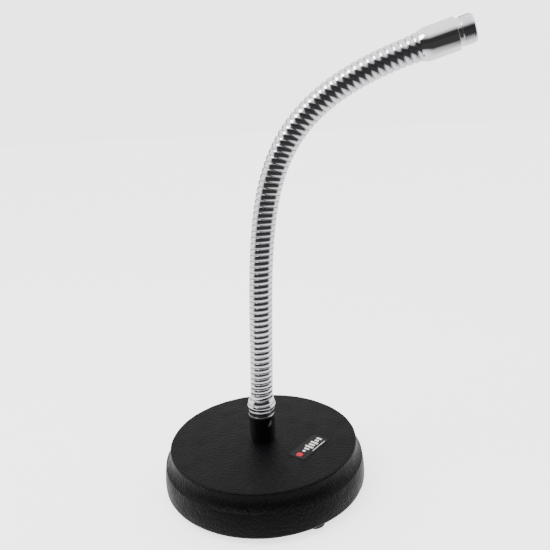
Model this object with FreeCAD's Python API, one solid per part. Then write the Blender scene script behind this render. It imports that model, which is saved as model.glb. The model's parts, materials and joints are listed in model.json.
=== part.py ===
import FreeCAD, Part
import os
from math import asin, cos, pi, radians, sin, sqrt, tan
from FreeCAD import Placement, Rotation, Vector

# Desktop microphone stand: a cast-iron disc base on three rubber feet, a black collar bolted
# through it, and a flexible neck of interlocked spring wires that ends in a chrome sleeve and a
# 5/8"-27 microphone thread.
#
# Origin: centre of the base, on the surface that the stand rests on. +Z is up, and the neck leans
# over towards +X. Millimetres throughout.

# ---- driving dimensions ---------------------------------------------------------------------

# Base casting
top_height = 31.3           # top face above the resting surface
rim_radius = 62.5           # flat top disc
lip_radius = 67.5           # widest point of the skirt
rim_edge_radius = 1.2
rim_band = 3.6              # upright band below the top edge
hollow_foot = (66.2, 20.3)  # radius and height where the concave sweep of the skirt ends
hollow_bulge = 0.85         # how far that sweep hollows in from its chord
lip_bulge = 0.35            # how far the skirt's outer face rounds out from its chord
lip_edge_radius = 2.6
relief_radius = 46.0        # shallow relief under the base
relief_depth = 2.5
nut_pocket_radius = 13.5
nut_pocket_roof = 21.8      # height of the face that the washer bears on
stud_hole_radius = 5.3

# Rubber feet and their screws
foot_height = 3.5
foot_radius = 7.0
foot_taper = 0.6
foot_circle = 58.0
foot_angles = {"front": -49.0, "left": -163.0, "rear": 74.0}
foot_recess_radius = 4.2
foot_recess_depth = 1.9
screw_radius = 2.0
screw_length = 12.0
screw_head_radius = 3.6
screw_head_height = 1.4
screw_slot = (0.9, 0.7)     # width and depth of the driver slot
clearance = 0.06            # radial, round every shank and stud

# Collar and the stud through it
collar_radius = 8.7
collar_height = 19.0
collar_top_round = 0.8
collar_foot_chamfer = (1.1, 3.2)    # inwards and upwards
stud_radius = 5.0           # M10
stud_bottom = 8.8
stud_shoulder = 4.5         # height of the widest part of the shank above the collar
stud_tip = 8.2              # length of the shank above the collar
stud_neck = 1.5             # depth below the collar's top where the thread ends
stud_chamfer = 0.8
washer = (10.0, 1.6)        # outer radius and thickness
spring_washer = (8.6, 2.2)
spring_washer_gap = 1.6
nut_across_flats = 17.0
nut_height = 8.0

# Neck: a wedge wire outside locks a round wire inside, both wound to the same pitch
coil_pitch = 3.76
neck_radius = 7.42
wedge_root = 5.0            # radius of the wedge's inner edge
wedge_face = 2.75           # width of the face that shows
wedge_edge = 0.3            # depth of the face's upright sides
wedge_apex = 0.3            # width of the inner edge
round_wire = 1.3            # radius of the inner wire
round_coil = 5.25           # radius of the inner wire's centre line
bell_growth = 1.7           # the first turns are stretched over the stud's shank
bell_turns = 2.5
bell_lift = 0.3             # height of the first turn above the collar
length_turns = 5            # pitches from one bending point of the neck to the next
length_count = 13
open_turns = 1.5            # pitches left open at each bending point
head_turns = 2.0

# Neck centre line, from the collar to the sleeve: foot lean, tip place and the two pulls
neck_lean = 4.0
neck_tip = (101.5, 273.0)
neck_tip_lean = 74.0
lower_pull = 136.0
upper_pull = 109.4

# Head: sleeve and microphone thread
sleeve_radius = 8.95
sleeve_length = 19.8
sleeve_shoulder = 5.0       # length of the bullet-shaped shoulder
sleeve_mouth_radius = 7.95
sleeve_bore = 7.75
sleeve_edge = 0.4           # chamfer at the thread's end of the sleeve
shank_radius = 3.8
shank_length = 13.0
plug_radius = 7.7
plug_length = 6.0
groove_radius = 7.3
groove_width = 1.4
thread_radius = 7.9375      # 5/8 inch over the crests
thread_length = 7.8
thread_chamfer = 1.1
thread_start = 0.5          # chamfer beside the groove

# Label, a thin plate on the top face
label_size = (29.0, 12.0, 0.25)
label_corner = 1.5
label_place = (32.3, -10.3)
label_angle = 61.0

X_AXIS = Vector(1, 0, 0)
Y_AXIS = Vector(0, 1, 0)
Z_AXIS = Vector(0, 0, 1)
ORIGIN = Vector(0, 0, 0)


# ---- helpers --------------------------------------------------------------------------------

def turned(points):
    """A solid of revolution about Z from (radius, height) points; a third value bulges the
    stretch that starts at that point by so much, as an arc."""
    edges = []
    for here, there in zip(points, points[1:] + points[:1]):
        a = Vector(here[0], 0, here[1])
        b = Vector(there[0], 0, there[1])
        if len(here) == 3:
            along = (b - a).normalize()
            middle = (a + b) * 0.5 + Vector(along.z, 0, -along.x) * here[2]
            edges.append(Part.Arc(a, middle, b).toShape())
        else:
            edges.append(Part.makeLine(a, b))
    return Part.Face(Part.Wire(edges)).revolve(ORIGIN, Z_AXIS, 360)


def sagitta(chord, radius):
    """How far an arc of the given radius rises above its chord."""
    return radius - sqrt(radius ** 2 - chord ** 2 / 4)


def drum(radius, low, high):
    return Part.makeCylinder(radius, high - low, Vector(0, 0, low))


def ring(outer, inner, low, high):
    return drum(outer, low, high).cut(drum(inner, low, high))


def export(name, shape):
    shape.exportStep("parts/" + name + ".step")
    print(f"{name}: {len(shape.Solids)} solid(s), {shape.Volume / 1000:.3f} cm3, valid {shape.isValid()}")


# ---- base -----------------------------------------------------------------------------------

def foot_places():
    for name, angle in foot_angles.items():
        yield name, Rotation(Z_AXIS, angle).multVec(X_AXIS * foot_circle)


def base_casting():
    lip_low = foot_height + lip_edge_radius
    edge = rim_edge_radius * sqrt(2)
    casting = turned([
        (0, foot_height + relief_depth),
        (0, top_height),
        (rim_radius - rim_edge_radius, top_height, -sagitta(edge, rim_edge_radius)),
        (rim_radius, top_height - rim_edge_radius),
        (rim_radius, top_height - rim_band, hollow_bulge),
        (hollow_foot[0], hollow_foot[1], -lip_bulge),
        (lip_radius, lip_low, -sagitta(lip_edge_radius * sqrt(2), lip_edge_radius)),
        (lip_radius - lip_edge_radius, foot_height),
        (relief_radius + relief_depth, foot_height),
        (relief_radius, foot_height + relief_depth),
    ])
    casting = casting.cut(drum(nut_pocket_radius, 0, nut_pocket_roof))
    casting = casting.cut(drum(stud_hole_radius, 0, top_height + 1))
    for _, place in foot_places():
        hole = drum(screw_radius + clearance, 0, foot_recess_depth + screw_length + 1)
        casting = casting.cut(hole.translated(place))
    return casting


def rubber_foot():
    foot = Part.makeCone(foot_radius - foot_taper, foot_radius, foot_height)
    foot = foot.cut(drum(foot_recess_radius, 0, foot_recess_depth))
    return foot.cut(drum(screw_radius + clearance, 0, foot_height))


def foot_screw():
    head_low = foot_recess_depth - screw_head_height
    screw = drum(screw_head_radius, head_low, foot_recess_depth)
    screw = screw.fuse(drum(screw_radius, foot_recess_depth, foot_recess_depth + screw_length))
    width, depth = screw_slot
    slot = Part.makeBox(2 * screw_head_radius, width, depth)
    return screw.cut(slot.translated(Vector(-screw_head_radius, -width / 2, head_low)))


def collar():
    top = top_height + collar_height
    chamfer_in, chamfer_up = collar_foot_chamfer
    body = turned([
        (0, top_height),
        (0, top),
        (collar_radius - collar_top_round, top, -sagitta(collar_top_round * sqrt(2), collar_top_round)),
        (collar_radius, top - collar_top_round),
        (collar_radius, top_height + chamfer_up),
        (collar_radius - chamfer_in, top_height),
    ])
    return body.cut(drum(stud_radius + clearance, top_height, top))


def neck_stud():
    """Threaded rod through the base and the collar, with a swelled shank that the coil is forced over."""
    top = top_height + collar_height
    bore = round_coil - round_wire - clearance
    shank_slope = bell_growth / (bell_turns * coil_pitch)
    return turned([
        (0, stud_bottom),
        (0, top + stud_tip),
        (bore - stud_chamfer, top + stud_tip),
        (bore, top + stud_tip - stud_chamfer),
        (bore + shank_slope * (stud_tip - stud_shoulder) / 2, top + stud_shoulder),
        (bore, top),
        (stud_radius, top - stud_neck),
        (stud_radius, stud_bottom + stud_chamfer),
        (stud_radius - stud_chamfer, stud_bottom),
    ])


def flat_washer():
    radius, thickness = washer
    return ring(radius, stud_hole_radius, nut_pocket_roof - thickness, nut_pocket_roof)


def split_washer():
    radius, thickness = spring_washer
    top = nut_pocket_roof - washer[1]
    body = ring(radius, stud_hole_radius, top - thickness, top)
    gap = Part.makeBox(2 * radius, spring_washer_gap, 3 * thickness)
    gap.translate(Vector(0, -spring_washer_gap / 2, -1.5 * thickness))
    gap.rotate(ORIGIN, X_AXIS, 25)
    return body.cut(gap.translated(Vector(0, 0, top - thickness / 2)))


def hex_nut():
    top = nut_pocket_roof - washer[1] - spring_washer[1]
    corner = nut_across_flats / sqrt(3)
    corners = [Vector(corner * cos(radians(60 * i)), corner * sin(radians(60 * i)), top - nut_height)
               for i in range(7)]
    prism = Part.Face(Part.makePolygon(corners)).extrude(Z_AXIS * nut_height)
    rounding = corner - nut_across_flats / 2
    bevels = turned([
        (0, top - nut_height),
        (0, top),
        (nut_across_flats / 2, top),
        (corner, top - rounding * tan(radians(30))),
        (corner, top - nut_height + rounding * tan(radians(30))),
        (nut_across_flats / 2, top - nut_height),
    ])
    return prism.common(bevels).cut(drum(stud_radius + clearance, top - nut_height, top))


def base_label():
    length, width, thickness = label_size
    plate = Part.makeBox(length, width, thickness, Vector(-length / 2, -width / 2, 0))
    uprights = [edge for edge in plate.Edges if abs(edge.tangentAt(edge.FirstParameter).z) > 0.99]
    plate = plate.makeFillet(label_corner, uprights)
    plate.rotate(ORIGIN, Z_AXIS, label_angle)
    return plate.translated(Vector(label_place[0], label_place[1], top_height))


# ---- neck -----------------------------------------------------------------------------------

def neck_line(t):
    """The neck's centre line, a cubic curve in the XZ plane, for t from 0 at the collar to 1."""
    foot = Vector(0, 0, top_height + collar_height)
    tip = Vector(neck_tip[0], 0, neck_tip[1])
    up = Vector(sin(radians(neck_lean)), 0, cos(radians(neck_lean)))
    out = Vector(sin(radians(neck_tip_lean)), 0, cos(radians(neck_tip_lean)))
    lower = foot + up * lower_pull
    upper = tip - out * upper_pull
    return (foot * (1 - t) ** 3 + lower * (3 * t * (1 - t) ** 2)
            + upper * (3 * t ** 2 * (1 - t)) + tip * t ** 3)


def bending_points():
    """Points one neck length apart along the centre line, from the top of the bell to the head."""
    steps = 4000
    wanted = [coil_pitch * (bell_turns + length_turns * i) for i in range(length_count + 1)]
    points = []
    travelled = 0.0
    here = neck_line(0)
    for i in range(1, steps + 1):
        there = neck_line(i / steps)
        travelled += (there - here).Length
        if len(points) < len(wanted) and travelled >= wanted[len(points)]:
            points.append(there)
        here = there
    print(f"neck: {travelled:.1f} mm from collar to sleeve, head coil starts at {wanted[-1]:.1f}")
    return points


def wound(section, radius, turns, slope=0.0):
    """A section wound into a coil about Z, rising from 0; slope is the coil's taper in degrees."""
    path = Part.makeHelix(coil_pitch, coil_pitch * turns, radius, slope)
    return Part.Wire(path.Edges).makePipeShell([section], True, True)


def wedge_section(growth=0.0):
    half_face, half_apex = wedge_face / 2, wedge_apex / 2
    outline = [
        (wedge_root, -half_apex),
        (neck_radius - wedge_edge, -half_face),
        (neck_radius, -half_face + wedge_edge / 2),
        (neck_radius, half_face - wedge_edge / 2),
        (neck_radius - wedge_edge, half_face),
        (wedge_root, half_apex),
    ]
    corners = [Vector(r + growth, 0, z) for r, z in outline]
    return Part.Wire(Part.makePolygon(corners + corners[:1]))


def round_section(growth=0.0):
    centre = Vector(round_coil + growth, 0, 0)
    return Part.Wire(Part.makeCircle(round_wire, centre, Y_AXIS))


def wire_pair(turns, start, growth=0.0, slope=0.0):
    """The outer and inner wire of one stretch; the inner one sits half a turn round from the outer."""
    outer = wound(wedge_section(growth), (wedge_root + neck_radius) / 2 + growth, turns, slope)
    inner = wound(round_section(growth), round_coil + growth, turns, slope)
    inner.rotate(ORIGIN, Z_AXIS, 180)
    lift = Vector(0, 0, start)
    return outer.translated(lift), inner.translated(lift)


def laid(shape, start, direction):
    placed = shape.copy()
    placed.Placement = Placement(start, Rotation(Z_AXIS, direction)).multiply(placed.Placement)
    return placed


# ---- head -----------------------------------------------------------------------------------

def chrome_sleeve():
    rise = sleeve_radius - sleeve_mouth_radius
    shoulder_chord = sqrt(rise ** 2 + sleeve_shoulder ** 2)
    shoulder_radius = (rise ** 2 + sleeve_shoulder ** 2) / (2 * rise)
    return turned([
        (sleeve_bore, 0),
        (sleeve_mouth_radius, 0, sagitta(shoulder_chord, shoulder_radius)),
        (sleeve_radius, sleeve_shoulder),
        (sleeve_radius, sleeve_length - sleeve_edge),
        (sleeve_radius - sleeve_edge, sleeve_length),
        (sleeve_bore, sleeve_length),
    ])


def thread_stud():
    """Plain to the crests of the thread: shank, plug inside the sleeve, groove and stud."""
    plug_low = sleeve_length - plug_length
    stud_low = sleeve_length + groove_width
    end = stud_low + thread_length
    return turned([
        (0, plug_low - shank_length),
        (0, end),
        (thread_radius - thread_chamfer, end),
        (thread_radius, end - thread_chamfer),
        (thread_radius, stud_low + thread_start),
        (thread_radius - thread_start, stud_low),
        (groove_radius, stud_low),
        (groove_radius, sleeve_length),
        (plug_radius, sleeve_length),
        (plug_radius, plug_low),
        (shank_radius, plug_low),
        (shank_radius, plug_low - shank_length + stud_chamfer),
        (shank_radius - stud_chamfer, plug_low - shank_length),
    ])


# ---- the whole stand ------------------------------------------------------------------------

def main():
    os.makedirs("parts", exist_ok=True)
    export("base_casting", base_casting())
    for name, place in foot_places():
        export("rubber_foot_" + name, rubber_foot().translated(place))
    export("foot_screws", Part.makeCompound([foot_screw().translated(p) for _, p in foot_places()]))
    export("collar", collar())
    export("base_label", base_label())
    export("neck_stud", neck_stud())
    export("flat_washer", flat_washer())
    export("spring_washer", split_washer())
    export("hex_nut", hex_nut())

    half_gap = coil_pitch * open_turns / 2
    points = bending_points()
    foot = neck_line(0)
    lean = (points[0] - foot).normalize()
    slope = -asin(min(1, bell_growth / (bell_turns * coil_pitch))) * 180 / pi
    outer, inner = wire_pair(bell_turns - open_turns / 2, wedge_face / 2 + bell_lift, bell_growth, slope)
    export("outer_coil_foot", laid(outer, foot, lean))
    export("inner_coil_foot", laid(inner, foot, lean))

    outer, inner = wire_pair(length_turns - open_turns, half_gap)
    for i in range(length_count):
        direction = (points[i + 1] - points[i]).normalize()
        export(f"outer_coil_{i + 1:02d}", laid(outer, points[i], direction))
        export(f"inner_coil_{i + 1:02d}", laid(inner, points[i], direction))

    tip = neck_line(1)
    out = Vector(sin(radians(neck_tip_lean)), 0, cos(radians(neck_tip_lean)))
    visible = (tip - points[-1]).Length
    start = tip - out * visible
    outer, inner = wire_pair(head_turns + (visible - half_gap) / coil_pitch, half_gap)
    export("outer_coil_head", laid(outer, start, out))
    export("inner_coil_head", laid(inner, start, out))
    export("chrome_sleeve", laid(chrome_sleeve(), tip, out))
    export("mic_thread_stud", laid(thread_stud(), tip, out))
    for i, point in enumerate(points):
        print(f"bending point {i + 1}: {point.x:.2f} {point.z:.2f}")
    end = tip + out * (sleeve_length + groove_width + thread_length)
    print(f"thread end: {end.x:.2f} {end.z:.2f}, axis {out.x:.5f} {out.z:.5f}")


main()
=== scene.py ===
import json
import math

import bmesh
import bpy
from mathutils import Matrix, Vector, noise


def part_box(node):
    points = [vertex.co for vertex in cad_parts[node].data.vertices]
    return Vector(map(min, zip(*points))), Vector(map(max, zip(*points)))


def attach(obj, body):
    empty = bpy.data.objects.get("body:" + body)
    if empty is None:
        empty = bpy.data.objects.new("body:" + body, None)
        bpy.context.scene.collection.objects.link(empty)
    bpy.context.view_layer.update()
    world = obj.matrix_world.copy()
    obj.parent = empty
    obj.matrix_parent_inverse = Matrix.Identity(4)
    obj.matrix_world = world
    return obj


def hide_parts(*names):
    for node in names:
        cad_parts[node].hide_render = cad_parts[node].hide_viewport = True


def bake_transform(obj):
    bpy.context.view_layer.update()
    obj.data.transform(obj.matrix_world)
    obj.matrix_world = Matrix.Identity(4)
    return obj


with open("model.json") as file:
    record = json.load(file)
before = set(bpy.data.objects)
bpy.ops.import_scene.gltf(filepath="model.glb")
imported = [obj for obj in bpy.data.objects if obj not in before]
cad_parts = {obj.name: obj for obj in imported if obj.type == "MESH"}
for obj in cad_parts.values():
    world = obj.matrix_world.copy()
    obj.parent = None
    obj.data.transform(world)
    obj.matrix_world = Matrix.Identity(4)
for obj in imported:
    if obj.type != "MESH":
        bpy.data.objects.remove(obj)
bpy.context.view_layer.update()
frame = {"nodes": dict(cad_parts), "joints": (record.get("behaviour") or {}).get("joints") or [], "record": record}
mm = 0.001


# Small tools

def sizes(values):
    # a settings dictionary in millimetres, turned to metres
    return {name: value * mm for name, value in values.items()}


def linear(hexColour):
    # sRGB hex to linear RGBA
    channels = [int(hexColour[i:i + 2], 16) / 255 for i in (1, 3, 5)]
    return tuple(c / 12.92 if c <= 0.04045 else ((c + 0.055) / 1.055) ** 2.4 for c in channels) + (1.0,)


def addNode(tree, kind, sockets=None, **settings):
    node = tree.nodes.new(kind)
    for name, value in settings.items():
        setattr(node, name, value)
    for name, value in (sockets or {}).items():
        if isinstance(value, bpy.types.NodeSocket):
            tree.links.new(value, node.inputs[name])
        else:
            node.inputs[name].default_value = value
    return node


def smoothly(tree, value, start, end, most=1.0):
    # rises from 0 at start to most at end, level outside them
    return addNode(tree, "ShaderNodeMapRange", {"Value": value, "From Min": start, "From Max": end,
                                                "To Max": most}, interpolation_type="SMOOTHSTEP").outputs[0]


def newObject(name, data):
    thing = bpy.data.objects.new(name, data)
    bpy.context.scene.collection.objects.link(thing)
    return thing


def finishMesh(mesh, sharpAngle=32):
    # merged seams, outward faces, smooth shading with crisp edges
    work = bmesh.new()
    work.from_mesh(mesh)
    bmesh.ops.remove_doubles(work, verts=work.verts, dist=0.0005 * mm)
    bmesh.ops.recalc_face_normals(work, faces=work.faces)
    work.to_mesh(mesh)
    work.free()
    mesh.shade_smooth()
    mesh.set_sharp_from_angle(angle=math.radians(sharpAngle))


def rounded(corners, steps=6):
    # (across, up, radius) corners of an outline, each rounded by its own radius
    points = []
    for i, corner in enumerate(corners):
        here = Vector(corner[:2])
        radius = corner[2] if len(corner) > 2 else 0
        if not radius or i in (0, len(corners) - 1):
            points.append(here)
            continue
        before = (Vector(corners[i - 1][:2]) - here).normalized()
        after = (Vector(corners[i + 1][:2]) - here).normalized()
        halfAngle = before.angle(after) / 2
        reach = radius / math.tan(halfAngle)
        centre = here + (before + after).normalized() * (radius / math.sin(halfAngle))
        start = here + before * reach - centre
        turn = start.angle_signed(here + after * reach - centre)
        for k in range(steps + 1):
            angle = -turn * k / steps
            points.append(centre + Matrix.Rotation(angle, 2) @ start)
    return points


def bulged(start, end, rise, steps=10):
    # points of an arc from start to end, end left out, that stands off to the right of its way by rise
    start, end = Vector(start), Vector(end)
    chord = end - start
    radius = (chord.length ** 2 / 4 + rise ** 2) / (2 * abs(rise))
    normal = Vector((chord.y, -chord.x)).normalized() * (1 if rise > 0 else -1)
    centre = (start + end) / 2 - normal * (radius - abs(rise))
    first = start - centre
    turn = first.angle_signed(end - centre)
    return [centre + Matrix.Rotation(-turn * k / steps, 2) @ first for k in range(steps)]


def lathe(name, outline, material, place=Matrix.Identity(4), segments=160, closed=False):
    # outline of (radius, height) points turned about Z, then put in place
    work = bmesh.new()
    rings = []
    for radius, height in outline:
        if radius < 1e-9:
            rings.append([work.verts.new((0, 0, height))] * segments)
            continue
        rings.append([work.verts.new((radius * math.cos(2 * math.pi * k / segments),
                                      radius * math.sin(2 * math.pi * k / segments), height))
                      for k in range(segments)])
    pairs = list(zip(rings, rings[1:] + rings[:1]))
    for lower, upper in pairs if closed else pairs[:-1]:
        for k in range(segments):
            corners = [lower[k], lower[k - 1], upper[k - 1], upper[k]]
            face = list(dict.fromkeys(corners))
            if len(face) > 2:
                work.faces.new(face)
    mesh = bpy.data.meshes.new(name)
    work.to_mesh(mesh)
    work.free()
    mesh.transform(place)
    mesh.materials.append(material)
    finishMesh(mesh)
    return newObject(name, mesh)


def along(origin, direction):
    # a frame at origin whose Z runs along direction
    turn = Vector((0, 0, 1)).rotation_difference(direction).to_matrix().to_4x4()
    return Matrix.Translation(origin) @ turn


def shown(piece, body, slot, *nodes):
    if body:
        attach(piece, body)
    if nodes:
        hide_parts(*nodes)
    return piece


# Where things are, from the frame

bodyNames = list(frame["record"]["behaviour"]["bodies"])
bendPoints = [Vector(joint["pos_m"]) for joint in frame["joints"]]
mounts = {mount["name"]: mount for mount in frame["record"]["mounts"]}
headAxis = Vector(mounts["mic_thread"]["axis"]).normalized()
castingLow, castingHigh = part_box("base_casting")
collarLow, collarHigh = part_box("collar")


# Materials

def newMaterial(name, **sockets):
    material = bpy.data.materials.new(name)
    material.use_nodes = True
    shader = material.node_tree.nodes["Principled BSDF"]
    for socket, value in sockets.items():
        shader.inputs[socket.replace("_", " ")].default_value = value
    return material, material.node_tree, shader


def crinkleCoat():
    # black wrinkle powder coat baked on cast iron: a fine pebbled skin that sparkles where it faces light
    grain = 1.1 * mm
    material, tree, shader = newMaterial("crinkleCoat", Base_Color=linear("#060507"), Roughness=0.42,
                                         Specular_IOR_Level=0.08)
    place = addNode(tree, "ShaderNodeTexCoord").outputs["Object"]
    pebbles = addNode(tree, "ShaderNodeTexVoronoi", {"Vector": place, "Scale": 1 / grain, "Randomness": 1.0},
                      feature="SMOOTH_F1")
    wrinkles = addNode(tree, "ShaderNodeTexNoise", {"Vector": place, "Scale": 0.45 / grain, "Detail": 5.0,
                                                    "Roughness": 0.62, "Distortion": 0.6})
    height = addNode(tree, "ShaderNodeMath", {0: pebbles.outputs["Distance"], 1: wrinkles.outputs["Fac"]},
                     operation="ADD")
    bump = addNode(tree, "ShaderNodeBump", {"Height": height.outputs[0], "Strength": 1.0,
                                            "Distance": 0.36 * mm})
    tree.links.new(bump.outputs["Normal"], shader.inputs["Normal"])
    patches = addNode(tree, "ShaderNodeTexNoise", {"Vector": place, "Scale": 1 / (9 * mm), "Detail": 4.0})
    gloss = addNode(tree, "ShaderNodeMapRange", {"Value": patches.outputs["Fac"], "From Min": 0.3,
                                                 "From Max": 0.7, "To Min": 0.3, "To Max": 0.44})
    tree.links.new(gloss.outputs[0], shader.inputs["Roughness"])
    return material


def glossLacquer():
    # stoved black enamel on a turned collar: deep, wet-looking, with a trace of orange peel
    material, tree, shader = newMaterial("glossLacquer", Base_Color=linear("#050405"), Roughness=0.12,
                                         Coat_Weight=1.0, Coat_Roughness=0.04)
    place = addNode(tree, "ShaderNodeTexCoord").outputs["Object"]
    peel = addNode(tree, "ShaderNodeTexNoise", {"Vector": place, "Scale": 1 / (1.6 * mm), "Detail": 2.0})
    bump = addNode(tree, "ShaderNodeBump", {"Height": peel.outputs["Fac"], "Strength": 0.25,
                                            "Distance": 0.03 * mm})
    tree.links.new(bump.outputs["Normal"], shader.inputs["Normal"])
    tree.links.new(bump.outputs["Normal"], shader.inputs["Coat Normal"])
    return material


def chromePlate(name, colour, roughness, ripple):
    # bright chromium over nickel: a mirror with the faint waviness of the polished metal under it
    material, tree, shader = newMaterial(name, Base_Color=linear(colour), Metallic=1.0)
    place = addNode(tree, "ShaderNodeTexCoord").outputs["Object"]
    waves = addNode(tree, "ShaderNodeTexNoise", {"Vector": place, "Scale": 1 / (2.2 * mm), "Detail": 3.0})
    bump = addNode(tree, "ShaderNodeBump", {"Height": waves.outputs["Fac"], "Strength": 0.3,
                                            "Distance": ripple})
    tree.links.new(bump.outputs["Normal"], shader.inputs["Normal"])
    haze = addNode(tree, "ShaderNodeTexNoise", {"Vector": place, "Scale": 1 / (5 * mm), "Detail": 4.0})
    gloss = addNode(tree, "ShaderNodeMapRange", {"Value": haze.outputs["Fac"], "From Min": 0.3,
                                                 "From Max": 0.7, "To Min": 0.7 * roughness,
                                                 "To Max": 1.3 * roughness})
    tree.links.new(gloss.outputs[0], shader.inputs["Roughness"])
    return material


def mouldedRubber():
    # black moulded rubber: dull, slightly bloomed
    material, tree, shader = newMaterial("mouldedRubber", Roughness=0.8, Specular_IOR_Level=0.3)
    place = addNode(tree, "ShaderNodeTexCoord").outputs["Object"]
    bloom = addNode(tree, "ShaderNodeTexNoise", {"Vector": place, "Scale": 1 / (3 * mm), "Detail": 6.0})
    tone = addNode(tree, "ShaderNodeMapRange", {"Value": bloom.outputs["Fac"], "To Min": 0.006,
                                                "To Max": 0.016})
    tree.links.new(tone.outputs[0], shader.inputs["Base Color"])
    bump = addNode(tree, "ShaderNodeBump", {"Height": bloom.outputs["Fac"], "Strength": 0.4,
                                            "Distance": 0.05 * mm})
    tree.links.new(bump.outputs["Normal"], shader.inputs["Normal"])
    return material


def platedSteel(name, colour, roughness):
    # zinc-plated or blacked steel fastener: satin, with turned marks round its axis
    material, tree, shader = newMaterial(name, Base_Color=linear(colour), Metallic=1.0)
    place = addNode(tree, "ShaderNodeTexCoord").outputs["Object"]
    tooling = addNode(tree, "ShaderNodeTexNoise", {"Vector": place, "Scale": 1 / (0.5 * mm), "Detail": 4.0})
    gloss = addNode(tree, "ShaderNodeMapRange", {"Value": tooling.outputs["Fac"], "To Min": 0.6 * roughness,
                                                 "To Max": 1.5 * roughness})
    tree.links.new(gloss.outputs[0], shader.inputs["Roughness"])
    bump = addNode(tree, "ShaderNodeBump", {"Height": tooling.outputs["Fac"], "Strength": 0.35,
                                            "Distance": 0.03 * mm})
    tree.links.new(bump.outputs["Normal"], shader.inputs["Normal"])
    return material


def labelInk(name, colour):
    # printed vinyl with a satin film, which keeps its black as deep as the coat beside it
    material, tree, shader = newMaterial(name, Base_Color=linear(colour), Roughness=0.45,
                                         Specular_IOR_Level=0.15)
    place = addNode(tree, "ShaderNodeTexCoord").outputs["Object"]
    film = addNode(tree, "ShaderNodeTexNoise", {"Vector": place, "Scale": 1 / (1.5 * mm), "Detail": 3.0})
    bump = addNode(tree, "ShaderNodeBump", {"Height": film.outputs["Fac"], "Strength": 0.3,
                                            "Distance": 0.04 * mm})
    tree.links.new(bump.outputs["Normal"], shader.inputs["Normal"])
    return material


crinkle = crinkleCoat()
lacquer = glossLacquer()
sleeveChrome = chromePlate("sleeveChrome", "#e6e6ea", 0.05, 0.012 * mm)
springChrome = chromePlate("springChrome", "#dcdce0", 0.09, 0.03 * mm)
drawnWire = chromePlate("drawnWire", "#b9b9be", 0.16, 0.03 * mm)
rubber = mouldedRubber()
zinc = platedSteel("zincSteel", "#b8bcc2", 0.3)
blacked = platedSteel("blackedSpringSteel", "#3b3b40", 0.35)
labelBlack = labelInk("labelBlack", "#0a0a0c")
labelWhite = labelInk("labelWhite", "#e9e6e2")
labelRed = labelInk("labelRed", "#b8202c")
print("materials made")


# Base casting, turned to the same outline as the design, with the slight waviness of a sand casting

casting = sizes({
    "rim": 62.5, "rimEdge": 1.2, "band": 3.6, "hollowFoot": 66.2, "hollowLow": 20.3, "hollowRise": 0.85,
    "lip": 67.5, "lipRise": -0.35, "lipEdge": 2.6, "relief": 46.0, "reliefDepth": 2.5, "pocket": 13.5,
    "pocketRoof": 21.8, "bore": 5.3, "ringStep": 2.5, "waviness": 0.16, "waveLength": 9.0,
    "stillCentre": 18.75,
})


def makeCasting(c):
    top, low = castingHigh[2], castingLow[2]
    hollowTop = top - c["band"]
    hollowFoot = (c["hollowFoot"], c["hollowLow"])
    lipLow = (c["lip"], low + c["lipEdge"])
    outline = [Vector((c["bore"], top))]
    rings = int((c["rim"] - c["bore"]) / c["ringStep"])
    outline += [Vector((c["bore"] + (c["rim"] - c["rimEdge"] - c["bore"]) * k / rings, top))
                for k in range(1, rings)]
    outline += rounded([(c["rim"] - 2 * c["rimEdge"], top), (c["rim"], top, c["rimEdge"]),
                        (c["rim"], hollowTop)])[1:]
    outline += bulged((c["rim"], hollowTop), hollowFoot, c["hollowRise"])[1:]
    outline += bulged(hollowFoot, lipLow, c["lipRise"])
    outline += rounded([lipLow, (c["lip"], low, c["lipEdge"] * 0.98), (c["relief"] + c["reliefDepth"], low)])
    reliefRoof = low + c["reliefDepth"]
    outline += [Vector((c["relief"], reliefRoof)), Vector((c["pocket"], reliefRoof)),
                Vector((c["pocket"], c["pocketRoof"])), Vector((c["bore"], c["pocketRoof"]))]
    piece = lathe("baseCasting", outline, crinkle, segments=288, closed=True)
    for vertex in piece.data.vertices:
        place = vertex.co
        spread = math.hypot(place.x, place.y)
        outer = min(1, max(0, (spread - c["stillCentre"]) / c["rim"]))
        push = noise.noise(place / c["waveLength"]) + 0.5 * noise.noise(place / (0.4 * c["waveLength"]))
        vertex.co = place + vertex.normal * (push * outer * c["waviness"])
    return shown(piece, "base", "crinkle_black", "base_casting")


makeCasting(casting)
print("base casting made")


# Feet

foot = sizes({"top": 7.0, "topEdge": 0.3, "bottom": 6.4, "edge": 0.7, "recess": 4.2, "recessEdge": 0.3,
              "recessDepth": 1.9, "bore": 2.1})


def makeFoot(name, f):
    low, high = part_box(name)
    centre = Vector(((low[0] + high[0]) / 2, (low[1] + high[1]) / 2, low[2]))
    height = high[2] - low[2]
    outline = rounded([
        (f["bore"], height), (f["top"], height, f["topEdge"]), (f["bottom"], 0, f["edge"]),
        (f["recess"], 0, f["recessEdge"]), (f["recess"], f["recessDepth"]), (f["bore"], f["recessDepth"]),
    ], steps=4)
    place = Matrix.Translation(centre)
    piece = lathe(name.replace("_", "") + "Moulding", outline, rubber, place, segments=64, closed=True)
    return shown(piece, "base", "rubber", name)


for side in ("front", "left", "rear"):
    makeFoot("rubber_foot_" + side, foot)
print("feet made")


# Collar

collarTurning = sizes({"radius": 8.7, "topEdge": 0.8, "chamferUp": 3.2, "chamferIn": 1.1, "chamferEdge": 0.5,
                       "footEdge": 0.2, "bore": 5.06})


def makeCollar(c):
    height = collarHigh[2] - collarLow[2]
    outline = rounded([
        (c["bore"], height), (c["radius"], height, c["topEdge"]),
        (c["radius"], c["chamferUp"], c["chamferEdge"]), (c["radius"] - c["chamferIn"], 0, c["footEdge"]),
        (c["bore"], 0),
    ])
    piece = lathe("collarTurning", outline, lacquer, Matrix.Translation((0, 0, collarLow[2])), closed=True)
    return shown(piece, "base", "gloss_black", "collar")


makeCollar(collarTurning)
print("collar made")


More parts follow.
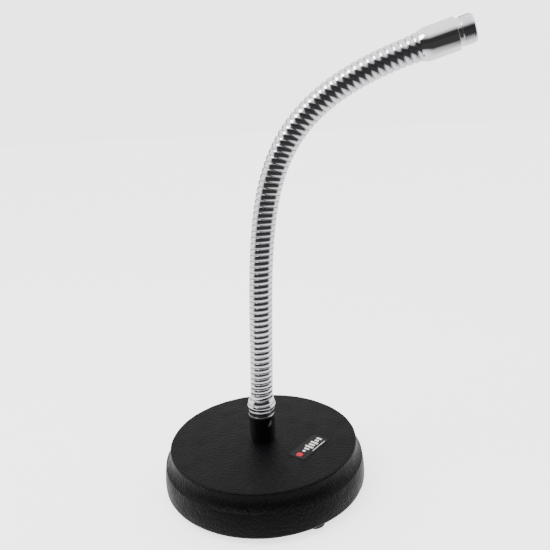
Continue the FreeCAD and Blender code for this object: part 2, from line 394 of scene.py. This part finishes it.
# Label: a thin printed vinyl plate stuck on the top face, with a plain level-meter drawing

label = sizes({
    "length": 29.0, "width": 12.0, "corner": 1.5, "sink": 0.03, "ink": 0.03, "barWidth": 1.6, "barStep": 2.9,
    "barTall": 6.4, "barStart": -5.6, "barCorner": 0.3, "bead": 4.0, "beadCorner": 1.2, "beadPlace": -10.6,
    "ruleLength": 14.0, "ruleWidth": 0.45, "ruleCorner": 0.1, "ruleAlong": 4.5, "ruleAcross": -4.6,
})
labelTurn = math.radians(61)
barHeights = (0.3, 0.55, 0.95, 0.7, 0.85, 0.45, 0.6)


def roundedPlate(work, length, width, corner, low, high, centre=(0, 0), steps=6):
    # a flat plate with rounded corners
    rim = []
    for turn, (sx, sy) in enumerate(((1, 1), (-1, 1), (-1, -1), (1, -1))):
        for k in range(steps + 1):
            angle = math.pi / 2 * (turn + k / steps)
            rim.append((centre[0] + sx * (length / 2 - corner) + corner * math.cos(angle),
                        centre[1] + sy * (width / 2 - corner) + corner * math.sin(angle)))
    bottom = [work.verts.new((x, y, low)) for x, y in rim]
    top = [work.verts.new((x, y, high)) for x, y in rim]
    work.faces.new(reversed(bottom))
    work.faces.new(top)
    for k in range(len(rim)):
        work.faces.new((bottom[k - 1], bottom[k], top[k], top[k - 1]))


def labelPiece(name, material, plates):
    low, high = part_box("base_label")
    centre = Vector(((low[0] + high[0]) / 2, (low[1] + high[1]) / 2, 0))
    work = bmesh.new()
    for plate in plates:
        roundedPlate(work, *plate)
    mesh = bpy.data.meshes.new(name)
    work.to_mesh(mesh)
    work.free()
    mesh.transform(Matrix.Translation(centre) @ Matrix.Rotation(labelTurn, 4, "Z"))
    mesh.materials.append(material)
    finishMesh(mesh)
    return newObject(name, mesh)


def makeLabel(g):
    low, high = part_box("base_label")
    film = labelPiece("labelFilm", labelBlack, [(g["length"], g["width"], g["corner"], low[2], high[2])])
    shown(film, "base", "label_vinyl", "base_label")
    ink = (high[2] - g["sink"], high[2] + g["ink"])
    bars = [(g["barWidth"], share * g["barTall"], g["barCorner"], *ink, (g["barStart"] + k * g["barStep"], 0))
            for k, share in enumerate(barHeights)]
    rule = (g["ruleLength"], g["ruleWidth"], g["ruleCorner"], *ink, (g["ruleAlong"], g["ruleAcross"]))
    bead = (g["bead"], g["bead"], g["beadCorner"], *ink, (g["beadPlace"], 0))
    shown(labelPiece("labelBars", labelWhite, [*bars, rule]), "base", "label_vinyl")
    shown(labelPiece("labelBead", labelRed, [bead]), "base", "label_vinyl")


makeLabel(label)
print("label made")


# Neck wires: each follows the centre line as a coil, in one stretch for each bending point.
# bell: the first turns, sprung open over the collar; head: the last ones, forced over the stud's shank

neck = sizes({
    "pitch": 3.76, "lowerPull": 136.0, "upperPull": 109.4, "headRun": 12.0, "footRun": 6.0,
    "wedgeRoot": 5.0, "wedgeOuter": 7.42, "wedgeFace": 2.9, "wedgeApex": 0.3, "wedgeCrown": 0.22,
    "wedgeShoulder": 0.62, "wedgeEase": 0.05, "roundRadius": 1.3, "roundCoil": 5.45,
    "bellGrowth": 1.9, "bellTop": 13.5, "bellWidest": 5.8, "bellTuck": 0.65, "headGrowth": 0.4,
    "headSwell": 9.0,
})
neckTurns = {"toFirstBend": 2.5, "perLength": 5.0, "inSleeve": 2.0, "stepsPerTurn": 56, "firstTurn": -0.3,
             "cutStretch": 9, "footReach": 0.6, "headReach": 0.9}
wireEnd = math.radians(-50)  # where the wires' lower ends lie round the neck
neckLean = math.radians(4.0)  # of the neck from upright as it leaves the collar


def centreLine(n):
    start, tip = Vector((0, 0, collarHigh[2])), sleeveMouth
    lean = Vector((math.sin(neckLean), 0, math.cos(neckLean)))
    leadIn, leadOut = lean * n["footRun"], headAxis * n["headRun"]
    curve = bpy.data.curves.new("neckCentreLine", "CURVE")
    curve.dimensions = "3D"
    curve.resolution_u = 400
    spline = curve.splines.new("BEZIER")
    spline.bezier_points.add(3)
    places = [
        (start - leadIn, -leadIn / 3, leadIn / 3),
        (start, -leadIn / 3, lean * n["lowerPull"]),
        (tip, -headAxis * n["upperPull"], leadOut / 3),
        (tip + leadOut, -leadOut / 3, leadOut / 3),
    ]
    for point, (place, before, after) in zip(spline.bezier_points, places):
        point.handle_left_type = point.handle_right_type = "FREE"
        point.co = place
        point.handle_left = place + before
        point.handle_right = place + after
    return newObject("neckCentreLine", curve)


def straightLine(name, start, end):
    curve = bpy.data.curves.new(name, "CURVE")
    curve.dimensions = "3D"
    spline = curve.splines.new("POLY")
    spline.points.add(1)
    spline.points[0].co = (*start, 1)
    spline.points[1].co = (*end, 1)
    return newObject(name, curve)


def wireSection(name, points):
    # the wire's section: X outwards from the coil's axis, Y along it
    curve = bpy.data.curves.new(name, "CURVE")
    curve.dimensions = "3D"
    spline = curve.splines.new("POLY")
    spline.points.add(len(points) - 1)
    for point, (across, up) in zip(spline.points, points):
        point.co = (across, up, 0, 1)
    spline.use_cyclic_u = True
    return newObject(name, curve)


def windingTree():
    # bends a straight bar of the wire's section into a coil round the centre line
    tree = bpy.data.node_groups.new("windWire", "GeometryNodeTree")
    sockets = [
        ("Centre Line", "NodeSocketObject", None), ("Wire Section", "NodeSocketObject", None),
        ("Start Turn", "NodeSocketFloat", 0.0), ("End Turn", "NodeSocketFloat", 5.0),
        ("Steps Per Turn", "NodeSocketInt", 48), ("Pitch", "NodeSocketFloat", 0.004),
        ("Coil Radius", "NodeSocketFloat", 0.006), ("Phase", "NodeSocketFloat", 0.0),
        ("Lead In", "NodeSocketFloat", 0.0),
        ("Foot Growth", "NodeSocketFloat", 0.0), ("Foot Swell Top", "NodeSocketFloat", 0.01),
        ("Foot Swell Widest", "NodeSocketFloat", 0.005), ("Foot Tuck", "NodeSocketFloat", 0.0),
        ("Head Growth", "NodeSocketFloat", 0.0), ("Head Swell Start", "NodeSocketFloat", 10.0),
        ("Head Swell End", "NodeSocketFloat", 11.0), ("Wire Material", "NodeSocketMaterial", None),
    ]
    tree.interface.new_socket("Geometry", in_out="INPUT", socket_type="NodeSocketGeometry")
    tree.interface.new_socket("Geometry", in_out="OUTPUT", socket_type="NodeSocketGeometry")
    for name, kind, default in sockets:
        socket = tree.interface.new_socket(name, in_out="INPUT", socket_type=kind)
        if default is not None:
            socket.default_value = default
    given = addNode(tree, "NodeGroupInput").outputs

    def maths(operation, *values):
        node = addNode(tree, "ShaderNodeMath", dict(enumerate(values)), operation=operation)
        return node.outputs[0]

    def vectorMaths(operation, *values, **named):
        sockets = {**dict(enumerate(values)), **named}
        return addNode(tree, "ShaderNodeVectorMath", sockets, operation=operation).outputs["Vector"]

    # the bar stands on Z, one metre for each turn, with its section in X and Y
    startPoint = addNode(tree, "ShaderNodeCombineXYZ", {"Z": given["Start Turn"]}).outputs[0]
    endPoint = addNode(tree, "ShaderNodeCombineXYZ", {"Z": given["End Turn"]}).outputs[0]
    bar = addNode(tree, "GeometryNodeCurvePrimitiveLine", {"Start": startPoint, "End": endPoint})
    turns = maths("SUBTRACT", given["End Turn"], given["Start Turn"])
    steps = maths("ADD", maths("ROUND", maths("MULTIPLY", turns, given["Steps Per Turn"])), 1.0)
    stepped = addNode(tree, "GeometryNodeResampleCurve", {"Curve": bar.outputs[0], "Count": steps})
    section = addNode(tree, "GeometryNodeObjectInfo", {"Object": given["Wire Section"]})
    swept = addNode(tree, "GeometryNodeCurveToMesh", {
        "Curve": stepped.outputs[0], "Profile Curve": section.outputs["Geometry"], "Fill Caps": True})
    place = addNode(tree, "ShaderNodeSeparateXYZ", {0: addNode(tree, "GeometryNodeInputPosition").outputs[0]})
    distance = maths("SUBTRACT", maths("MULTIPLY", place.outputs["Z"], given["Pitch"]), place.outputs["Y"])
    line = addNode(tree, "GeometryNodeObjectInfo", {"Object": given["Centre Line"]})
    reached = maths("ADD", distance, given["Lead In"])
    onLine = addNode(tree, "GeometryNodeSampleCurve", {"Curves": line.outputs["Geometry"], "Length": reached},
                     mode="LENGTH", use_all_curves=True)
    angle = maths("ADD", maths("MULTIPLY", place.outputs["Z"], 2 * math.pi), given["Phase"])
    side = (0.0, 1.0, 0.0)
    outward = vectorMaths("CROSS_PRODUCT", side, onLine.outputs["Tangent"])
    spoke = vectorMaths("ADD", vectorMaths("SCALE", outward, Scale=maths("COSINE", angle)),
                        vectorMaths("SCALE", side, Scale=maths("SINE", angle)))
    footSwell = smoothly(tree, distance, given["Foot Swell Top"], given["Foot Swell Widest"])
    footTuck = smoothly(tree, distance, given["Foot Swell Widest"], 0.0)
    headSwell = smoothly(tree, distance, given["Head Swell Start"], given["Head Swell End"])
    growth = maths("MULTIPLY", footSwell, given["Foot Growth"])
    growth = maths("SUBTRACT", growth, maths("MULTIPLY", footTuck, given["Foot Tuck"]))
    growth = maths("ADD", growth, maths("MULTIPLY", headSwell, given["Head Growth"]))
    radius = maths("ADD", maths("ADD", place.outputs["X"], given["Coil Radius"]), growth)
    moved = vectorMaths("ADD", onLine.outputs["Position"], vectorMaths("SCALE", spoke, Scale=radius))
    wound = addNode(tree, "GeometryNodeSetPosition", {"Geometry": swept.outputs[0], "Position": moved})
    plain = addNode(tree, "GeometryNodeRealizeInstances", {0: wound.outputs[0]})
    coloured = addNode(tree, "GeometryNodeSetMaterial", {
        "Geometry": plain.outputs[0], "Material": given["Wire Material"]})
    addNode(tree, "NodeGroupOutput", {0: coloured.outputs[0]})
    return tree


def windWire(name, tree, **inputs):
    # runs the tree on an empty mesh and keeps the result as a plain mesh
    host = newObject(name + "Host", bpy.data.meshes.new(name + "Host"))
    modifier = host.modifiers.new("wind", "NODES")
    modifier.node_group = tree
    keys = {item.name: item.identifier for item in tree.interface.items_tree
            if item.item_type == "SOCKET" and item.in_out == "INPUT"}
    for socket, value in inputs.items():
        modifier[keys[socket.replace("_", " ")]] = value
    bpy.context.view_layer.update()
    mesh = bpy.data.meshes.new_from_object(host.evaluated_get(bpy.context.evaluated_depsgraph_get()))
    mesh.name = name
    bpy.data.objects.remove(host)
    finishMesh(mesh, 40)
    return newObject(name, mesh)


def wedgePoints(n):
    # a rolled wedge: crowned face outwards, rounded shoulders, thin root inwards; X from the root
    depth = n["wedgeOuter"] - n["wedgeRoot"]
    face, half, apex = depth - n["wedgeCrown"], n["wedgeFace"] / 2, n["wedgeApex"] / 2
    shoulder, eased = depth - n["wedgeShoulder"], half - n["wedgeEase"]
    crown = bulged((face, -half), (face, half), n["wedgeCrown"])
    return [(0, -apex), (shoulder, -eased), *crown, (face, half), (shoulder, eased), (0, apex)]


def roundPoints(n, count=14):
    angles = [2 * math.pi * k / count for k in range(count)]
    return [(n["roundRadius"] * math.cos(angle), n["roundRadius"] * math.sin(angle)) for angle in angles]


# the head's sizes, and the sleeve's mouth, found from the middle of the microphone thread
headSizes = sizes({
    "sleeve": 8.95, "sleeveLength": 19.8, "sleeveEdge": 0.4, "boreEdge": 0.1, "shoulder": 5.0, "mouth": 7.95,
    "bore": 7.75, "groove": 7.3, "grooveWidth": 1.4, "thread": 7.9375, "threadLength": 7.8,
    "threadChamfer": 1.1, "threadPitch": 0.9407, "threadDepth": 0.56, "threadStart": 0.5, "threadBite": 0.1,
    "endFace": 0.5, "endEdge": 0.15, "coreEdge": 0.1, "fadeInFrom": 0.3, "fadeInTo": 1.3, "fadeOutFrom": 1.5,
    "fadeOutTo": 0.4,
    "plug": 7.7, "plugLength": 6.0, "shank": 3.8, "shankLength": 13.0, "shankEdge": 0.6,
})
toothRoot, toothCrest = 0.94, 0.14  # widths as shares of the pitch
threadFirstTurn, threadEndGap = 0.6, 0.75
threadMiddle = (headSizes["threadStart"] + headSizes["threadLength"] - headSizes["threadChamfer"]) / 2
headRise = threadMiddle + headSizes["sleeveLength"] + headSizes["grooveWidth"]
sleeveMouth = Vector(mounts["mic_thread"]["pos_m"]) - headAxis * headRise
headPlace = along(sleeveMouth, headAxis)


def makeNeck(n, t):
    line = centreLine(n)
    visible = line.data.splines[0].calc_length() - n["headRun"] - n["footRun"]
    lastTurn = visible / n["pitch"] + t["inSleeve"]
    wedge = wireSection("wedgeSection", wedgePoints(n))
    circle = wireSection("roundSection", roundPoints(n))
    tree = windingTree()
    wires = [
        ("outerWire", "outer_coil_", wedge, n["wedgeRoot"], 0, springChrome, "spring_chrome"),
        ("innerWire", "inner_coil_", circle, n["roundCoil"], math.pi, drawnWire, "wire_chrome"),
    ]
    last = len(bendPoints) - 1
    nodeNames = ["foot"] + [f"{k:02d}" for k in range(1, last + 1)] + ["head"]

    def wind(wire, name, first, end):
        _, _, section, radius, phase, material, slot = wire
        piece = windWire(name, tree, Centre_Line=line, Wire_Section=section, Start_Turn=first, End_Turn=end,
                         Steps_Per_Turn=t["stepsPerTurn"], Pitch=n["pitch"], Coil_Radius=radius,
                         Phase=wireEnd + phase - 2 * math.pi * t["firstTurn"], Lead_In=n["footRun"],
                         Foot_Growth=n["bellGrowth"], Foot_Swell_Top=n["bellTop"],
                         Foot_Swell_Widest=n["bellWidest"], Foot_Tuck=n["bellTuck"],
                         Head_Growth=n["headGrowth"], Head_Swell_Start=visible - n["headSwell"],
                         Head_Swell_End=visible, Wire_Material=material)
        return piece

    for wire in wires:
        wireName, prefix = wire[:2]
        for k, bend in enumerate(bendPoints):
            name = f"{wireName}{k + 1:02d}"
            first = k * t["perLength"] if k else t["firstTurn"]
            end = (k + 1) * t["perLength"] if k < last else lastTurn
            if k == t["cutStretch"]:  # this stretch is cut at its bending point, and each half stays rigid
                middle = first + t["toFirstBend"]
                piece = wind(wire, name, first, middle)
                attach(piece, bodyNames[k])
                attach(wind(wire, name + "Upper", middle, end), bodyNames[k + 1])
            else:
                piece = wind(wire, name, first, end)
                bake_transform(piece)
            nodes = [prefix + nodeNames[k]]
            if k == last:
                nodes.append(prefix + "head")
            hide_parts(*nodes)
    for helper in (line, wedge, circle):
        bpy.data.objects.remove(helper)
    print("neck made:", len(bendPoints), "stretches,", round(lastTurn, 1), "turns")
    return tree


tree = makeNeck(neck, neckTurns)


# Head: sleeve and microphone thread

def makeSleeve(h):
    # a bullet-shaped shoulder that comes down tangent to the sleeve's side
    outline = []
    rise = h["sleeve"] - h["mouth"]
    radius = (rise ** 2 + h["shoulder"] ** 2) / (2 * rise)
    shoulderSteps = 14
    for k in range(shoulderSteps + 1):
        up = h["shoulder"] * k / shoulderSteps
        across = h["sleeve"] - radius + math.sqrt(radius ** 2 - (h["shoulder"] - up) ** 2)
        outline.append(Vector((across, up)))
    outline += rounded([(h["sleeve"], h["shoulder"] + mm), (h["sleeve"], h["sleeveLength"], h["sleeveEdge"]),
                        (h["bore"], h["sleeveLength"], h["boreEdge"]), (h["bore"], 0)])
    piece = lathe("chromeSleeve", outline, sleeveChrome, headPlace, segments=192, closed=True)
    return shown(piece, "head", "chrome", "chrome_sleeve")


def makeThreadStud(h, tree):
    core = h["thread"] - h["threadDepth"]
    low = h["sleeveLength"] + h["grooveWidth"]
    end = low + h["threadLength"]
    plugLow = h["sleeveLength"] - h["plugLength"]
    shankLow = plugLow - h["shankLength"]
    outline = rounded([
        (0, shankLow), (h["shank"], shankLow, h["shankEdge"]), (h["shank"], plugLow),
        (h["plug"], plugLow), (h["plug"], h["sleeveLength"]), (h["groove"], h["sleeveLength"]),
        (h["groove"], low), (core, low), (core, end - h["endFace"], h["coreEdge"]),
        (h["thread"] - h["threadChamfer"], end, h["endEdge"]), (0, end),
    ])
    stud = lathe("micThreadStud", outline, sleeveChrome, headPlace, segments=192)
    line = straightLine("threadLine", headPlace @ Vector((0, 0, low)), headPlace @ Vector((0, 0, end)))
    halfRoot, halfCrest = toothRoot * h["threadPitch"] / 2, toothCrest * h["threadPitch"] / 2
    tooth = wireSection("threadSection", [(-h["threadBite"], -halfRoot), (h["threadDepth"], -halfCrest),
                                          (h["threadDepth"], halfCrest), (-h["threadBite"], halfRoot)])
    turns = h["threadLength"] / h["threadPitch"]
    thread = windWire("micThread", tree, Centre_Line=line, Wire_Section=tooth, Start_Turn=threadFirstTurn,
                      End_Turn=turns - threadEndGap, Steps_Per_Turn=96, Pitch=h["threadPitch"],
                      Coil_Radius=core, Phase=0.0, Lead_In=0.0,
                      Foot_Growth=-h["threadDepth"], Foot_Swell_Top=h["fadeInTo"],
                      Foot_Swell_Widest=h["fadeInFrom"], Foot_Tuck=0.0,
                      Head_Growth=-h["threadDepth"] * 0.9,
                      Head_Swell_Start=h["threadLength"] - h["fadeOutFrom"],
                      Head_Swell_End=h["threadLength"] - h["fadeOutTo"], Wire_Material=sleeveChrome)
    for helper in (line, tooth):
        bpy.data.objects.remove(helper)
    shown(stud, "head", "chrome", "mic_thread_stud")
    return shown(thread, "head", "chrome")


makeSleeve(headSizes)
makeThreadStud(headSizes, tree)
print("head made")


# Fasteners under the base keep their design solids

for node, material in (("foot_screws", zinc), ("neck_stud", zinc), ("flat_washer", zinc), ("hex_nut", zinc),
                       ("spring_washer", blacked)):
    solid = frame["nodes"][node]
    solid.data.materials.clear()
    solid.data.materials.append(material)


# Studio: floor, light and camera

studio = {
    "floorSize": 12.0, "floorColour": "#f2f2f2", "floorGlow": 2.0, "floorBounce": 1.9, "backdrop": 3.3,
    "roomLight": 2.1, "lampPlace": (-0.5, -0.35, 0.9), "lampFacing": (-0.5, -0.35, 0.75), "lampSize": 0.5,
    "lampPower": 6.0,
}
# Dark zones that metal mirrors, each as where it starts, where it is whole, and how dark it is.
# "ahead" is a direction's share towards the camera, "rise" its share upwards, "reach" metres from the stand
darkness = {
    "floorReach": (0.08, 0.42, 0.97), "floorAhead": (-0.2, 0.45, 1.0),
    "frontAhead": (0.0, 0.45, 0.98), "frontRise": (0.92, 0.35, 1.0),
    "backAhead": (-0.35, -0.85, 0.7), "backRise": (0.5, 0.25, 1.0),
}
view = {"from": (77.0, -354.4, 245.4), "to": (20.1, -31.8, 154.35), "roll": -3.3, "lens": 39.24}


def times(tree, first, second):
    return addNode(tree, "ShaderNodeMath", {0: first, 1: second}, operation="MULTIPLY").outputs[0]


def oneLess(tree, share):
    return addNode(tree, "ShaderNodeMath", {0: 1.0, 1: share}, operation="SUBTRACT").outputs[0]


def towards(tree, direction, way):
    return addNode(tree, "ShaderNodeVectorMath", {0: direction, 1: tuple(way)},
                   operation="DOT_PRODUCT").outputs["Value"]


def makeFloor(s, d, facing):
    floor = newObject("floor", bpy.data.meshes.new("floor"))
    half = s["floorSize"] / 2
    floor.data.from_pydata([(-half, -half, 0), (half, -half, 0), (half, half, 0), (-half, half, 0)], [],
                           [(0, 1, 2, 3)])
    material, tree, shader = newMaterial("paleFloor", Base_Color=linear(s["floorColour"]), Roughness=0.6,
                                         Specular_IOR_Level=0.0, Emission_Color=(1, 1, 1, 1),
                                         Emission_Strength=s["floorGlow"])
    floor.data.materials.append(material)
    # the lit table that the metal mirrors: bright round the stand, dark far out on the viewer's side
    place = addNode(tree, "ShaderNodeTexCoord").outputs["Object"]
    reach = addNode(tree, "ShaderNodeVectorMath", {0: place}, operation="LENGTH").outputs["Value"]
    heading = addNode(tree, "ShaderNodeVectorMath", {0: place}, operation="NORMALIZE").outputs["Vector"]
    shade = times(tree, smoothly(tree, reach, *d["floorReach"]),
                  smoothly(tree, towards(tree, heading, facing), *d["floorAhead"]))
    glow = times(tree, oneLess(tree, shade), s["floorBounce"])
    mirrored = addNode(tree, "ShaderNodeEmission", {"Strength": glow})
    seenDirectly = addNode(tree, "ShaderNodeLightPath").outputs["Is Camera Ray"]
    surface = addNode(tree, "ShaderNodeMixShader", {0: seenDirectly, 1: mirrored.outputs[0],
                                                    2: shader.outputs[0]})
    tree.links.new(surface.outputs[0], tree.nodes["Material Output"].inputs["Surface"])


def makeWorld(s, d, facing):
    # white walls at the sides and a white ceiling; dark in front and, less so, at the back
    world = bpy.data.worlds.new("studioWorld")
    bpy.context.scene.world = world
    world.use_nodes = True
    tree = world.node_tree
    tree.nodes.clear()
    direction = addNode(tree, "ShaderNodeTexCoord").outputs["Generated"]
    rise = addNode(tree, "ShaderNodeSeparateXYZ", {0: direction}).outputs["Z"]
    ahead = towards(tree, direction, facing)
    front = times(tree, smoothly(tree, ahead, *d["frontAhead"]), smoothly(tree, rise, *d["frontRise"]))
    back = times(tree, smoothly(tree, ahead, *d["backAhead"]), smoothly(tree, rise, *d["backRise"]))
    dark = addNode(tree, "ShaderNodeMath", {0: front, 1: back}, operation="MAXIMUM").outputs[0]
    room = oneLess(tree, dark)
    lighting = addNode(tree, "ShaderNodeBackground", {"Color": room, "Strength": s["roomLight"]})
    seen = addNode(tree, "ShaderNodeBackground", {"Color": (1, 1, 1, 1), "Strength": s["backdrop"]})
    seenDirectly = addNode(tree, "ShaderNodeLightPath").outputs["Is Camera Ray"]
    both = addNode(tree, "ShaderNodeMixShader", {0: seenDirectly, 1: lighting.outputs[0], 2: seen.outputs[0]})
    addNode(tree, "ShaderNodeOutputWorld", {"Surface": both.outputs[0]})


def makeLamp(s):
    lamp = bpy.data.lights.new("keySoftbox", "AREA")
    lamp.shape = "DISK"
    lamp.size = s["lampSize"]
    lamp.energy = s["lampPower"]
    key = newObject("keySoftbox", lamp)
    key.matrix_world = along(Vector(s["lampPlace"]), Vector(s["lampFacing"]).normalized())


def makeStudio(s, d):
    facing = Vector((view["from"][0], view["from"][1], 0)).normalized()
    makeFloor(s, d, facing)
    makeWorld(s, d, facing)
    makeLamp(s)


def makeCamera(v):
    data = bpy.data.cameras.new("camera")
    data.lens = v["lens"]
    data.sensor_width = 36.0
    data.clip_start = 0.01
    camera = newObject("camera", data)
    place, aim = Vector(v["from"]) * mm, Vector(v["to"]) * mm
    turn = (aim - place).to_track_quat("-Z", "Y").to_matrix().to_4x4()
    camera.matrix_world = Matrix.Translation(place) @ turn @ Matrix.Rotation(math.radians(v["roll"]), 4, "Z")
    bpy.context.scene.camera = camera


makeStudio(studio, darkness)
makeCamera(view)
print("studio made")
